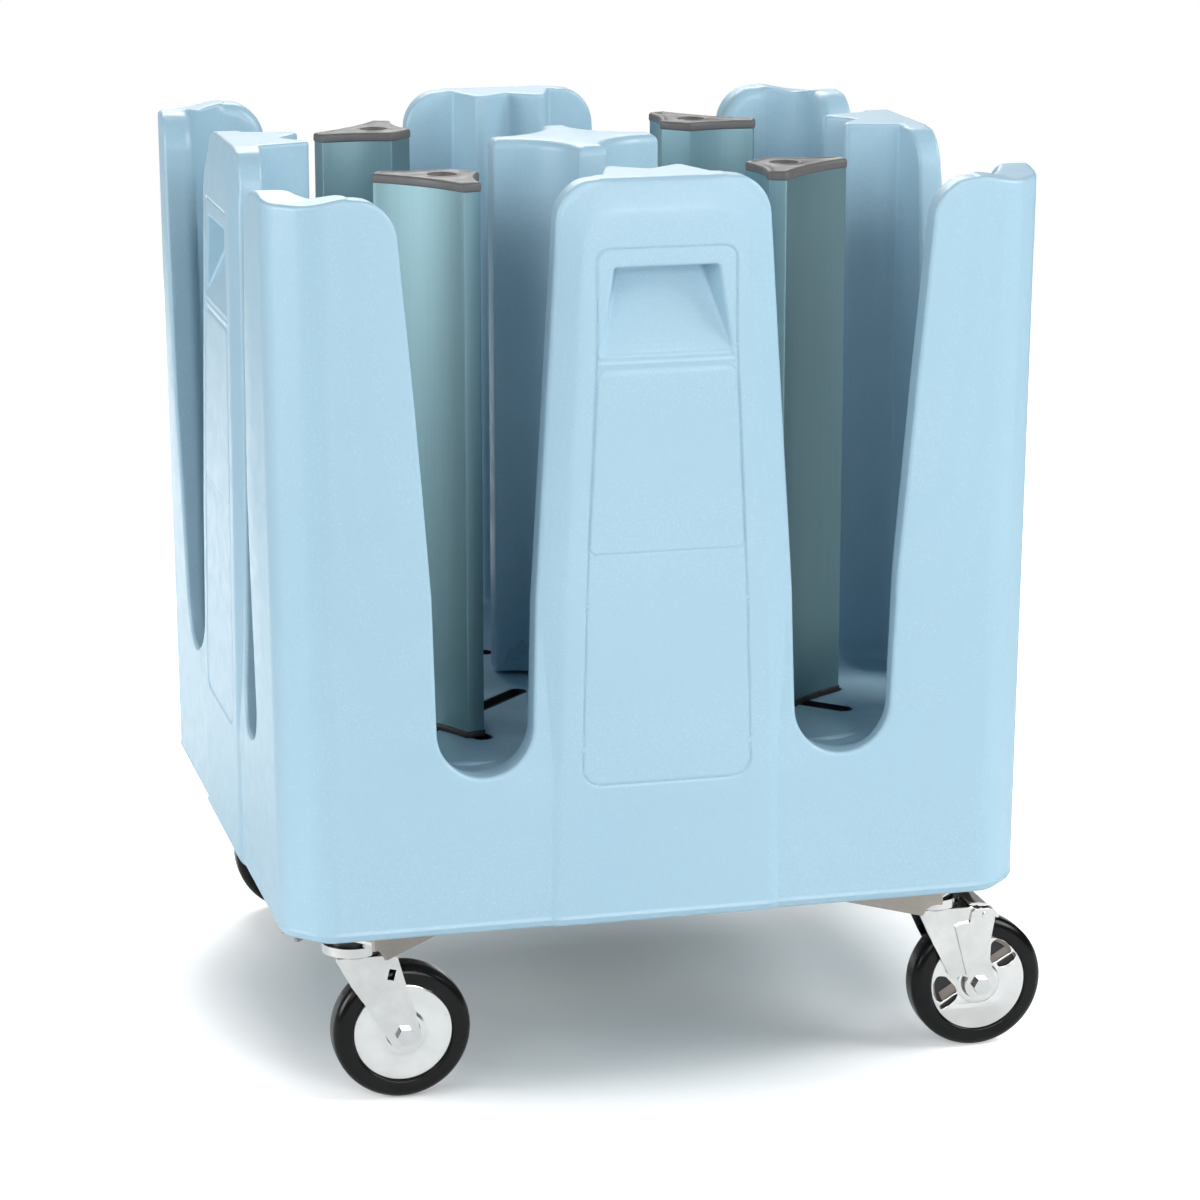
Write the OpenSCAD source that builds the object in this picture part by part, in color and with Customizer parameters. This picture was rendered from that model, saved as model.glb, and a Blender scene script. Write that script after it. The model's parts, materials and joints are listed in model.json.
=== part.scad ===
// Four-sided dish dolly: a one-piece double-wall moulded body with four corner
// towers and four handle towers round an open well, a separate centre column,
// four lift-out dividers on a star of floor grooves, a crossed steel frame and
// four 127 mm swivel casters, two of them with wheel brakes.
// Millimetres. +Z up, front face towards -Y. The origin is on the floor, under
// the middle of the footprint with all four wheels trailing towards +X.

/* [Body] */
// Outer width and depth across the handle towers, at the top
body_w = 700; // [696:1:706]
// Height of the body's underside above the floor
base_z = 170; // [169:0.5:171]
// Height of the well floor that the dishes stand on
floor_z = 316; // [315:0.5:318]
// Height of the handle towers, the highest point
mid_top_z = 841; // [836:1:846]
// Height of the corner towers and of the centre column
corner_top_z = 834; // [830:1:836]
// Draft: how much narrower each side is at the bottom than at the top
draft = 5.8; // [2:0.2:8]
// Radius of the upright outer corners
corner_r = 52; // [44:1:56]
// Moulded wall thickness
wall_t = 6; // [4:0.5:6.5]

/* [Access slots] */
// Distance of each slot's centre from the middle of its side
slot_x = 164.5; // [162:0.5:167]
// Radius of a slot's round bottom
slot_r = 44; // [42:0.5:46]
// Height of a slot's lowest point
slot_z = 315; // [314:0.5:315]

/* [Dividers] */
// Distance of each divider's hub from the middle, along X and along Y
hub_xy = 160; // [158:0.5:162]
// Length of the two long arms
arm_l = 62; // [60:0.5:63]
// Angle of each long arm from the outward diagonal
arm_a = 64; // [62:0.5:66]
// Overall height of the divider's top above the floor
divider_top_z = 825; // [820:1:828]
// Radius of the finger hole in the cap
finger_r = 13; // [11:0.5:13.5]

/* [Casters] */
// Distance of each swivel axis from the middle, along X and along Y
swivel_xy = 275; // [273:0.5:276]
// Trail: distance from the swivel axis to the axle
trail = 44; // [42:0.5:45]
// Wheel diameter
wheel_d = 127; // [125:0.5:128]
// Tyre width
tyre_w = 32; // [30:0.5:33]
// How far the brake pedal stands above its pressed position, degrees
brake_travel = 7; // [5:0.5:8]

/* [Hidden] */
$fn = 64;

wheel_r = wheel_d / 2;
// the wheels reach past the body on +X, so the footprint's middle is not the body's
origin_x = -(swivel_xy + trail + wheel_r - body_w / 2) / 2;
half_top = body_w / 2;
half_bot = body_w / 2 - draft;
FL = [-1, -1]; FR = [1, -1]; RL = [-1, 1]; RR = [1, 1];
CORNERS = [FL, FR, RL, RR];

// ---- heights under the body ----
web_t = 3;                      // frame channel's web
chan_w = 100;                   // channel width outside
chan_h = 25;                    // channel depth
plate_top = base_z - web_t;     // top face of the caster plates
plate_t = 4;
race_top = plate_top - plate_t;
crown_top = race_top - 12.4;     // top rim of the fork's swivel cup
fork_web_t = 4;
web_z = crown_top - 13.4;       // underside of the plate that joins the fork's legs
fork_in = 21;                   // half the clear width between the fork's legs
leg_t = 3;
sleeve_r = 8;
bolt_r = 5;
core_r = 46;                    // rim of the wheel core, the tyre's seat

module at0() translate([origin_x, 0, 0]) children();

function arc(cx, cz, r, a0, a1, n) =
  [for (i = [0:n]) let (a = a0 + (a1 - a0) * i / n) [cx + r * cos(a), cz + r * sin(a)]];
function turn(p, a) = [p[0] * cos(a) - p[1] * sin(a), p[0] * sin(a) + p[1] * cos(a)];
// circle through two end points and a bulge of s towards the left of a->b
function bow(a, b, s, n) =
  let (m = (a + b) / 2, d = b - a, l = norm(d), h = l / 2,
       r = (h * h + s * s) / (2 * abs(s)), nrm = [-d[1], d[0]] / l,
       c = m + nrm * (s > 0 ? s - r : s + r),
       a0 = atan2(a[1] - c[1], a[0] - c[0]), a1r = atan2(b[1] - c[1], b[0] - c[0]),
       da = a1r - a0, d2 = da > 180 ? da - 360 : da < -180 ? da + 360 : da)
  [for (i = [0:n]) [c[0] + r * cos(a0 + d2 * i / n), c[1] + r * sin(a0 + d2 * i / n)]];

// =====================================================================
// Body
// =====================================================================
module round_square(h, r) {
  square([2 * h, 2 * (h - r)], center = true);
  square([2 * (h - r), 2 * h], center = true);
  for (x = [-1, 1], y = [-1, 1]) translate([x * (h - r), y * (h - r)]) circle(r, $fn = 48);
}
// the whole block before the well is taken out; t shrinks it to the inner skin
module block(t) {
  hull() {
    translate([0, 0, base_z + t]) linear_extrude(0.5) round_square(half_bot - 7 - t, corner_r - 7 - t / 2);
    translate([0, 0, base_z + 8 + t / 2]) linear_extrude(0.5) round_square(half_bot - t, corner_r - t);
    translate([0, 0, mid_top_z - t - 0.5]) linear_extrude(0.5) round_square(half_top - t, corner_r - t);
  }
}
// one side of the well's outline: corner arc, slot, handle tower with its
// two-horned inner post, slot. t moves it into the plastic.
function well_side(t) = concat(
  arc(-272, -272, 50 + t, 180, 270, 10),
  [[-160, -322 - t], [-119, -314 - t], [-(41 - t), -306 - t], [-(34 - t), -253 - t]],
  bow([-(34 - t), -253 - t], [34 - t, -253 - t], -24, 8),
  [[41 - t, -306 - t], [119, -314 - t], [160, -322 - t]]);
function well_points(t) = [for (k = [0:3]) for (p = well_side(t)) turn(p, 90 * k)];
module well(t) {
  translate([0, 0, floor_z - t]) linear_extrude(700) polygon(well_points(t));
}
// a slot's outline in elevation: round bottom, sides that spread upwards, and
// the rounded shoulders of the two towers beside it
function slot_profile(t) = concat(
  [[59, mid_top_z + 80]],
  arc(59, mid_top_z - 38, 38 - t, 90, 0, 10),
  arc(slot_x, slot_z + slot_r, slot_r + t, 180, 360, 24),
  arc(279, corner_top_z - 40, 40 - t, 180, 90, 10),
  [[279, mid_top_z + 80]]);
module slots(t) {
  for (k = [0:3], s = [0, 1])
    rotate([0, 0, 90 * k]) mirror([s, 0, 0])
      translate([0, -300 + t, 0]) rotate([90, 0, 0]) linear_extrude(80) polygon(slot_profile(t));
}
module corner_tops(t) {
  for (c = CORNERS) translate([c[0] * 250, c[1] * 250, corner_top_z - t + 100])
    cube([240, 240, 200], center = true);
}
// pull pocket under the lip of each handle tower: deep at the top, running out
// to the surface at the bottom
module handle_pockets(t) {
  for (k = [0:3]) rotate([0, 0, 90 * k]) intersection() {
    translate([0, -300, 0]) rotate([90, 0, 0]) linear_extrude(80)
      polygon([[-61 - t, 689 - t], [61 + t, 689 - t], [51 + t, 764 + t], [-51 - t, 764 + t]]);
    rotate([90, 0, 90]) translate([0, 0, -80]) linear_extrude(160)
      polygon([[-half_top - 5, 686 - t], [-half_top + 7 + t, 688 - t],
               [-half_top + 36 + t, 758], [-half_top + 36 + t, 764 + t], [-half_top - 5, 764 + t]]);
  }
}
// each handle tower's outer face leans in above the base, up to 10 mm at its top
module tower_lean(t) {
  for (k = [0:3]) rotate([0, 0, 90 * k]) rotate([90, 0, 90]) translate([0, 0, -126]) linear_extrude(252)
    polygon([[-half_top - 5, 400], [-half_top + 3.1 + t, 400], [-half_top + 10.7 + t, 900], [-half_top - 5, 900]]);
}
// floor grooves: a star with a long inward arm, for the dividers' pegs
module bar2d(l, r) { translate([0, -r]) square([l, 2 * r]); translate([l, 0]) circle(r, $fn = 32); }
module star2d(r) {
  circle(r, $fn = 32);
  bar2d(68, r);
  rotate(180) bar2d(122, r);
  rotate(arm_a) bar2d(62, r);
  rotate(-arm_a) bar2d(62, r);
}
module at_hub(c) translate([c[0] * hub_xy, c[1] * hub_xy, 0]) rotate([0, 0, atan2(c[1], c[0])]) children();
module grooves(t) {
  for (c = CORNERS) at_hub(c) translate([0, 0, floor_z - 12 - t]) linear_extrude(40) star2d(9 + t);
}
module column_socket(t) {
  translate([-20.2 - t, -20.2 - t, floor_z - 10 - t]) cube([40.4 + 2 * t, 40.4 + 2 * t, 40]);
}
// underside recess over each caster plate, for its nuts
module caster_recess(t) {
  for (c = CORNERS) translate([c[0] * swivel_xy, c[1] * swivel_xy, base_z - 1]) cylinder(r = 54 + t, h = 14 + t);
}
INSERT_AT = [110, 270];
module insert_spots() {
  for (a = [45, 135, 225, 315], d = INSERT_AT) rotate([0, 0, a]) translate([d, 0, base_z]) children();
}
module form(t) {
  difference() {
    block(t);
    well(t);
    slots(t);
    corner_tops(t);
    handle_pockets(t);
    tower_lean(t);
    grooves(t);
    column_socket(t);
    caster_recess(t);
  }
}
module body_shell() {
  color([0.62, 0.79, 0.89]) at0() difference() {
    form(0);
    difference() {
      form(wall_t);
      // moulded bosses round the threaded inserts and the column bolt
      insert_spots() cylinder(r = 14, h = 34);
      translate([0, 0, base_z]) cylinder(r = 20, h = 160);
    }
    insert_spots() translate([0, 0, -1]) cylinder(r = 6, h = 23);
    // column bolt's way up through the base
    translate([0, 0, base_z - 1]) cylinder(r = 6.5, h = 160);
    // moulding vents, on the underside
    for (x = [-90, 90]) translate([x, 190, base_z - 1]) cylinder(r = 6, h = 12);
  }
}

// =====================================================================
// Centre column: a plus-shaped hollow moulding with concave flanks
// =====================================================================
function column_quarter(t) = concat([[80 - t, -13 + t], [80 - t, 13 - t]],
  bow([80 - t, 13 - t], [13 - t, 80 - t], 19, 12));
function column_points(t) = [for (k = [0:3]) for (p = column_quarter(t)) turn(p, 90 * k)];
module centre_column() {
  color([0.62, 0.79, 0.89]) at0() difference() {
    union() {
      hull() { // shallow crown so that the top edges are eased
        translate([0, 0, corner_top_z - 6.5]) linear_extrude(0.5) square([26, 160], center = true);
        translate([0, 0, corner_top_z - 0.5]) linear_extrude(0.5) square([18, 148], center = true);
      }
      hull() {
        translate([0, 0, corner_top_z - 6.5]) linear_extrude(0.5) square([160, 26], center = true);
        translate([0, 0, corner_top_z - 0.5]) linear_extrude(0.5) square([148, 18], center = true);
      }
      translate([0, 0, floor_z + 4]) linear_extrude(corner_top_z - floor_z - 10) polygon(column_points(0));
      translate([-34, -34, corner_top_z - 10]) cube([68, 68, 10]);
      translate([-20, -20, floor_z - 10]) cube([40, 40, 20]);
    }
    translate([0, 0, floor_z + 16]) linear_extrude(corner_top_z - floor_z - 16 - 16) polygon(column_points(5));
    translate([0, 0, floor_z - 11]) cylinder(r = 5, h = 40);
  }
}
module column_bolt() {
  color([0.75, 0.76, 0.78]) at0() {
    translate([0, 0, base_z - 1]) cylinder(r = 4.9, h = floor_z - base_z + 15);
    translate([0, 0, base_z - 3]) cylinder(r = 11, h = 3);
    translate([0, 0, base_z - 9.5]) cylinder(r = 8.5, h = 6.6, $fn = 6);
  }
}

// =====================================================================
// Floor grooves' black liners
// =====================================================================
module floor_groove_liners() {
  color([0.04, 0.04, 0.05]) at0() for (c = CORNERS) at_hub(c) difference() {
    translate([0, 0, floor_z - 12]) linear_extrude(11.6) star2d(9);
    translate([0, 0, floor_z - 10.5]) linear_extrude(20) star2d(7.5);
  }
}

// =====================================================================
// Dividers: three-armed extrusion, cap with a finger hole, foot with pegs
// =====================================================================
tip_w = 8.3;
function tip_c(s) = let (d = [cos(s * arm_a), sin(s * arm_a)], n = [-d[1], d[0]] * s) arm_l * d + tip_w * n;
function tip_o(s) = let (d = [cos(s * arm_a), sin(s * arm_a)], n = [-d[1], d[0]] * s) arm_l * d - tip_w * n;
blunt_l = 31; blunt_w = 16.5;
// outline, shrunk by t: outer hollow face, arm tip, flank, blunt inner end
function divider_points(t) =
  let (s = (arm_l - 1.2 * t) / arm_l, w = tip_w - t,
       d1 = [cos(arm_a), sin(arm_a)], n1 = [-d1[1], d1[0]],
       ao = arm_l * s * d1 - w * n1, ac = arm_l * s * d1 + w * n1,
       bo = [ao[0], -ao[1]], bc = [ac[0], -ac[1]],
       ca = [-blunt_l + t, blunt_w - 0.6 * t], cb = [-blunt_l + t, -blunt_w + 0.6 * t])
  concat(bow(bo, ao, 6.5 + 0.55 * t, 14), bow(ac, ca, 5, 6), bow(cb, bc, 5, 6));
// each divider stands on its own round peg, turned a little on it as it was left
function rest_turn(c) = c == FL ? -6 : c == FR ? -3.5 : c == RL ? 1.5 : 0;
module at_divider(c) at_hub(c) rotate([0, 0, rest_turn(c)]) children();
post_z0 = floor_z + 6.5;
post_z1 = divider_top_z - 12;
module divider_post(c) {
  color([0.60, 0.72, 0.76]) at0() at_divider(c) difference() {
    translate([0, 0, post_z0]) linear_extrude(post_z1 - post_z0) polygon(divider_points(0));
    translate([0, 0, post_z0 - 1]) linear_extrude(post_z1 - post_z0 + 2) polygon(divider_points(2.5));
  }
}
module divider_cap(c) {
  color([0.36, 0.33, 0.32]) at0() at_divider(c) difference() {
    union() {
      translate([0, 0, post_z1]) linear_extrude(12) polygon(divider_points(-0.8));
      translate([0, 0, post_z1 - 10]) linear_extrude(10) polygon(divider_points(2.8));
    }
    translate([0, 0, post_z1 - 11]) cylinder(r = finger_r, h = 30);
  }
}
module divider_foot(c) {
  color([0.04, 0.04, 0.05]) at0() at_divider(c) {
    translate([0, 0, floor_z + 0.3]) linear_extrude(post_z0 - floor_z - 0.3) polygon(divider_points(-0.8));
    translate([0, 0, post_z0]) linear_extrude(10) polygon(divider_points(2.8));
    translate([0, 0, floor_z - 9.8]) cylinder(r1 = 6, r2 = 7, h = 2);
    translate([0, 0, floor_z - 7.8]) cylinder(r = 7, h = 9);
  }
}

// =====================================================================
// Crossed steel frame under the base
// =====================================================================
chan_l = 425;                   // from the middle to each channel's end
module channel(x0, x1) {
  difference() {
    translate([x0, -chan_w / 2, base_z - chan_h]) cube([x1 - x0, chan_w, chan_h]);
    translate([x0 - 1, -chan_w / 2 + web_t, base_z - chan_h - 1]) cube([x1 - x0 + 2, chan_w - 2 * web_t, chan_h + 1 - web_t]);
    for (s = [-1, 1]) {
      for (d = INSERT_AT) translate([s * d, 0, base_z - 10]) cylinder(r = 4.6, h = 20);
      translate([s * swivel_xy * sqrt(2), 0, base_z - 10]) plate_holes(4.6, 20);
      // flange corners cut back at the open ends
      translate([s * (chan_l + 1), 0, base_z - chan_h - 8]) rotate([90, 0, 0]) cylinder(r = 22, h = chan_w + 4, center = true, $fn = 48);
    }
    translate([0, 0, base_z - 10]) cylinder(r = 12, h = 20);
  }
}
module plate_holes(r, h) {
  for (x = [-24, 24], y = [-37, 37]) translate([x, y, 0]) cylinder(r = r, h = h);
}
module frame_channel_long() {
  color([0.62, 0.59, 0.56]) at0() rotate([0, 0, 45]) channel(-chan_l, chan_l);
}
module frame_channel_short_pair() {
  color([0.62, 0.59, 0.56]) at0() rotate([0, 0, -45]) {
    channel(chan_w / 2, chan_l);
    channel(-chan_l, -chan_w / 2);
  }
}
// plate under the crossing that ties the two short channels to the long one
module frame_joint_plate() {
  color([0.62, 0.59, 0.56]) at0() rotate([0, 0, -45]) difference() {
    translate([-130, -40, base_z - chan_h - 3]) cube([260, 80, 3]);
    translate([0, 0, base_z - chan_h - 10]) cylinder(r = 20, h = 20);
    for (x = [-110, 110]) translate([x, 0, base_z - chan_h - 10]) cylinder(r = 14, h = 20);
  }
}
module frame_bolts() {
  color([0.78, 0.79, 0.80]) at0() insert_spots() {
    translate([0, 0, -web_t]) cylinder(r = 3.95, h = 22);
    translate([0, 0, -web_t - 1.6]) cylinder(r = 9, h = 1.6);
    translate([0, 0, -web_t - 7]) cylinder(r = 7.4, h = 5.4, $fn = 6);
  }
}
module threaded_inserts() {
  color([0.72, 0.58, 0.30]) at0() insert_spots() difference() {
    cylinder(r = 6, h = 21);
    translate([0, 0, -1]) cylinder(r = 4, h = 24);
  }
}

// =====================================================================
// Casters
// =====================================================================
module at_swivel(c) translate([c[0] * swivel_xy, c[1] * swivel_xy, 0]) children();
// fixed side: plate, bolts, nuts, race, kingpin; turned to the channel's line
module at_plate(c) at_swivel(c) rotate([0, 0, atan2(c[1], c[0])]) children();
module caster_plate(c) {
  color([0.80, 0.81, 0.82]) at0() at_plate(c) difference() {
    translate([-33, -46, plate_top - plate_t]) cube([66, 92, plate_t]);
    translate([0, 0, plate_top - 10]) plate_holes(4.3, 20);
    translate([0, 0, plate_top - 10]) cylinder(r = 6, h = 20);
  }
}
module caster_plate_bolts() {
  color([0.80, 0.81, 0.82]) at0() for (c = CORNERS) at_plate(c)
    for (x = [-24, 24], y = [-37, 37]) translate([x, y, 0]) {
      translate([0, 0, race_top]) cylinder(r = 4, h = plate_t + web_t + 9);
      translate([0, 0, race_top - 5]) cylinder(r = 6.8, h = 5, $fn = 6);
    }
}
module caster_plate_nuts() {
  color([0.78, 0.79, 0.80]) at0() for (c = CORNERS) at_plate(c)
    for (x = [-24, 24], y = [-37, 37]) translate([x, y, base_z]) difference() {
      cylinder(r = 7.4, h = 6.5, $fn = 6);
      translate([0, 0, -1]) cylinder(r = 4, h = 10);
    }
}
module swivel_races() {
  color([0.08, 0.08, 0.08]) at0() for (c = CORNERS) at_swivel(c) difference() {
    union() {
      translate([0, 0, race_top - 6]) cylinder(r = 25, h = 6);
      translate([0, 0, race_top - 14]) cylinder(r = 22, h = 9);
    }
    translate([0, 0, race_top - 15]) cylinder(r = 6, h = 20);
  }
}
module kingpins() {
  color([0.78, 0.79, 0.80]) at0() for (c = CORNERS) at_swivel(c) {
    translate([0, 0, web_z - 9]) cylinder(r = 6, h = plate_top - web_z + 9);
    translate([0, 0, web_z - 8]) cylinder(r = 10, h = 7.6, $fn = 6);
  }
}
// swivelling side. Wheels trail towards +X at rest.
module leg2d() {
  polygon([[-18, web_z + 1.5], [-17, web_z + fork_web_t], [34, web_z + fork_web_t], [38, web_z + 1.5],
           [44.5, 115], [54.5, 82], [trail + 14, wheel_r + 3], [trail + 5, wheel_r - 13],
           [trail - 12.2, wheel_r - 8.6], [7, 96.5], [-4.5, 113.5]]);
  translate([trail, wheel_r]) circle(15, $fn = 48);
}
// the braked casters' legs: a point ahead of the axle, and a round axle eye
module braked_leg2d() {
  polygon([[-18, web_z + 1.5], [-17, web_z + fork_web_t], [34, web_z + fork_web_t], [38, web_z + 1.5],
           [44.5, 115], [54.5, 82], [trail + 14, wheel_r + 3], [trail - 12, wheel_r + 8],
           [24.5, 75], [17, 71], [14.5, 72.5], [-4.5, 109]]);
  translate([trail, wheel_r]) circle(15, $fn = 48);
}
module fork(c, braked = false) {
  color([0.82, 0.83, 0.84]) at0() at_swivel(c) difference() {
    union() {
      for (s = [-1, 1]) translate([0, s * (fork_in + leg_t / 2) + leg_t / 2, 0]) rotate([90, 0, 0])
        linear_extrude(leg_t) if (braked) braked_leg2d(); else leg2d();
      translate([-17, -fork_in - 1, web_z]) cube([51, 2 * fork_in + 2, fork_web_t]);
      translate([0, 0, web_z + 1]) cylinder(r1 = 22, r2 = 27, h = 4);
      translate([0, 0, web_z + 5]) cylinder(r = 27, h = crown_top - web_z - 5);
    }
    translate([0, 0, 100]) cylinder(r = 6.06, h = 70);
    // cup for the fixed race
    translate([0, 0, crown_top - 3.6]) cylinder(r = 24, h = 5);
    translate([trail, 0, wheel_r]) rotate([90, 0, 0]) cylinder(r = bolt_r, h = 100, center = true);
    // slot through both legs, near the top
    translate([32.2, 0, 122.8]) rotate([0, 14, 0]) cube([6.4, 100, 10.4], center = true);
  }
}
module at_axle(c) at_swivel(c) translate([trail, 0, wheel_r]) rotate([90, 0, 0]) children();
module axle_bolt(c) {
  color([0.86, 0.87, 0.88]) at0() at_axle(c) {
    translate([0, 0, -32]) cylinder(r = bolt_r, h = 57);
    translate([0, 0, fork_in + leg_t]) cylinder(r = 8.6, h = 6, $fn = 6);
    translate([0, 0, -fork_in - leg_t - 6.5]) difference() {
      cylinder(r = 8.6, h = 6.5, $fn = 6);
      translate([0, 0, -1]) cylinder(r = bolt_r, h = 9);
    }
  }
}
module axle_sleeve(c) {
  color([0.55, 0.50, 0.42]) at0() at_axle(c) difference() {
    cylinder(r = sleeve_r, h = 2 * fork_in, center = true);
    cylinder(r = bolt_r, h = 2 * fork_in + 2, center = true);
  }
}
module wheel_core(c) {
  color([0.36, 0.31, 0.28]) at0() at_axle(c) difference() {
    union() {
      cylinder(r = 14, h = 2 * fork_in - 2, center = true);
      cylinder(r = core_r, h = 5, center = true);
      difference() {
        cylinder(r = core_r, h = tyre_w - 6, center = true);
        cylinder(r = core_r - 4, h = tyre_w, center = true);
      }
      for (a = [0:60:300]) rotate([0, 0, a]) translate([24, 0, 0]) cube([40, 4, tyre_w - 9], center = true);
    }
    cylinder(r = sleeve_r + 0.05, h = 100, center = true);
  }
}
module disc_window() {
  intersection() {
    difference() { cylinder(r = 38, h = 40, center = true); cylinder(r = 22, h = 44, center = true); }
    translate([30, 0, 0]) cube([30, 25, 50], center = true);
  }
}
module wheel_discs(c, windows = false) {
  color([0.86, 0.87, 0.88]) at0() at_axle(c) for (s = [-1, 1]) difference() {
    union() {
      translate([0, 0, s * (tyre_w / 2 - 2.3)]) cylinder(r = core_r - 0.2, h = 1.4, center = true);
      translate([0, 0, s * (tyre_w / 2 - 0.8)]) cylinder(r = 20, h = 1.8, center = true);
    }
    cylinder(r = 14, h = 100, center = true);
    if (windows) for (a = [185, 57]) rotate([0, 0, a]) disc_window();
  }
}
module tyre(c) {
  color([0.03, 0.03, 0.03]) at0() at_axle(c) rotate_extrude($fn = 96)
    polygon(concat(
      [[core_r, -tyre_w / 2 + 2], [core_r + 2, -tyre_w / 2]],
      arc(wheel_r - 9, -tyre_w / 2 + 9, 9, -90, 0, 7),
      arc(wheel_r - 9, tyre_w / 2 - 9, 9, 0, 90, 7),
      [[core_r + 2, tyre_w / 2], [core_r, tyre_w / 2 - 2]]));
}
// brake: cheek plates outside the fork's legs, and a hood-shaped pedal that
// turns on a pin between them
pedal_x = 46; pedal_z = 133.4;
module bracket2d() {
  difference() {
    polygon(concat(
      [[16.7, 124], [20.5, 126.2], [31, 127.4], [32.8, 137], [36, 139.4], [53, 139], [56.5, 136],
       [53, 116], [49.5, 95], [51.5, 84]],
      arc(trail, wheel_r, 19, 68, 142, 10)));
    translate([pedal_x, pedal_z]) circle(3.06, $fn = 32);
  }
}
module brake_bracket(c) {
  color([0.82, 0.83, 0.84]) at0() at_swivel(c) for (s = [-1, 1])
    translate([0, s * (fork_in + leg_t + 1.25) + 1.25, 0]) rotate([90, 0, 0]) linear_extrude(2.5) bracket2d();
}
HOOD_OUT = [[32, 142.4], [34, 144], [42, 144], [48.5, 142.6], [54.8, 138.8], [59.5, 133], [62, 128.4]];
HOOD_IN = [[59.6, 127.4], [57, 132], [52.8, 136.9], [47.5, 140], [41.5, 141.4], [34.5, 141.5]];
module brake_pedal(c) {
  color([0.80, 0.81, 0.82]) at0() at_swivel(c) translate([pedal_x, 0, pedal_z]) rotate([0, -brake_travel + 7, 0])
    translate([-pedal_x, 0, -pedal_z]) {
      // pin that runs in both cheek plates
      translate([pedal_x, 0, pedal_z]) rotate([90, 0, 0]) cylinder(r = 3, h = 2 * (fork_in + leg_t) + 7, center = true);
      translate([0, 20, 0]) rotate([90, 0, 0]) linear_extrude(40) polygon(concat(HOOD_OUT, HOOD_IN));
      for (s = [-1, 1]) translate([0, s * 18.5 + 1.5, 0]) rotate([90, 0, 0]) linear_extrude(3) {
        polygon([[40.5, 143], [42, 143], [48, 141.8], [54, 138], [58.2, 132.4], [60, 128.5], [46, 129], [41.5, 132]]);
        translate([pedal_x, pedal_z]) circle(5.2, $fn = 32);
      }
    }
}

// =====================================================================
body_shell();
centre_column();
floor_groove_liners();
divider_post(FL);  // divider_post_front_left
divider_cap(FL);  // divider_cap_front_left
divider_foot(FL);  // divider_foot_front_left
divider_post(FR);  // divider_post_front_right
divider_cap(FR);  // divider_cap_front_right
divider_foot(FR);  // divider_foot_front_right
divider_post(RL);  // divider_post_rear_left
divider_cap(RL);  // divider_cap_rear_left
divider_foot(RL);  // divider_foot_rear_left
divider_post(RR);  // divider_post_rear_right
divider_cap(RR);  // divider_cap_rear_right
divider_foot(RR);  // divider_foot_rear_right
frame_channel_long();
frame_channel_short_pair();
frame_joint_plate();
frame_bolts();
threaded_inserts();
column_bolt();
caster_plate(FL);  // caster_plate_front_left
caster_plate(FR);  // caster_plate_front_right
caster_plate(RL);  // caster_plate_rear_left
caster_plate(RR);  // caster_plate_rear_right
caster_plate_bolts();
caster_plate_nuts();
swivel_races();
kingpins();
fork(FL);  // fork_front_left
fork(FR, true);  // fork_front_right
fork(RL);  // fork_rear_left
fork(RR, true);  // fork_rear_right
axle_bolt(FL);  // axle_bolt_front_left
axle_bolt(FR);  // axle_bolt_front_right
axle_bolt(RL);  // axle_bolt_rear_left
axle_bolt(RR);  // axle_bolt_rear_right
axle_sleeve(FL);  // axle_sleeve_front_left
axle_sleeve(FR);  // axle_sleeve_front_right
axle_sleeve(RL);  // axle_sleeve_rear_left
axle_sleeve(RR);  // axle_sleeve_rear_right
wheel_core(FL);  // wheel_core_front_left
wheel_core(FR);  // wheel_core_front_right
wheel_core(RL);  // wheel_core_rear_left
wheel_core(RR);  // wheel_core_rear_right
wheel_discs(FL);  // wheel_discs_front_left
wheel_discs(FR, true);  // wheel_discs_front_right
wheel_discs(RL);  // wheel_discs_rear_left
wheel_discs(RR, true);  // wheel_discs_rear_right
tyre(FL);  // tyre_front_left
tyre(FR);  // tyre_front_right
tyre(RL);  // tyre_rear_left
tyre(RR);  // tyre_rear_right
brake_bracket(FR);  // brake_bracket_front_right
brake_pedal(FR);  // brake_pedal_front_right
brake_bracket(RR);  // brake_bracket_rear_right
brake_pedal(RR);  // brake_pedal_rear_right
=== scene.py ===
# Four-sided dish dolly: the looks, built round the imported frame.
import json
import math
from itertools import product

import bmesh
import bpy
import numpy as np
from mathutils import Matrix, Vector


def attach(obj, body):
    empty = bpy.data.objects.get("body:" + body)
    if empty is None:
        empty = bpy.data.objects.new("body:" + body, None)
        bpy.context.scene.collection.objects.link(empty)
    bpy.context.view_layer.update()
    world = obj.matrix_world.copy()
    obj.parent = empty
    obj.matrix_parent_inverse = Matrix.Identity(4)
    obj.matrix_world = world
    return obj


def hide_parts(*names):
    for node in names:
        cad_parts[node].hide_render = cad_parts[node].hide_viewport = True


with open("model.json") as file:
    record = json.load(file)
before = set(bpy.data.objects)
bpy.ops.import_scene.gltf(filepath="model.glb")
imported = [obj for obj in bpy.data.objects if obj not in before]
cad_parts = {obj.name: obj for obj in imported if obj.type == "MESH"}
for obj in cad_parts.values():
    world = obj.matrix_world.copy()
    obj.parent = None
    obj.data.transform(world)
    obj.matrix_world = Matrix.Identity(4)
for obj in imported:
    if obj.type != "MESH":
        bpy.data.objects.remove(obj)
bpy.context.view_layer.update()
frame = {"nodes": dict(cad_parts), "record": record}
NODES = frame["nodes"]

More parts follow.
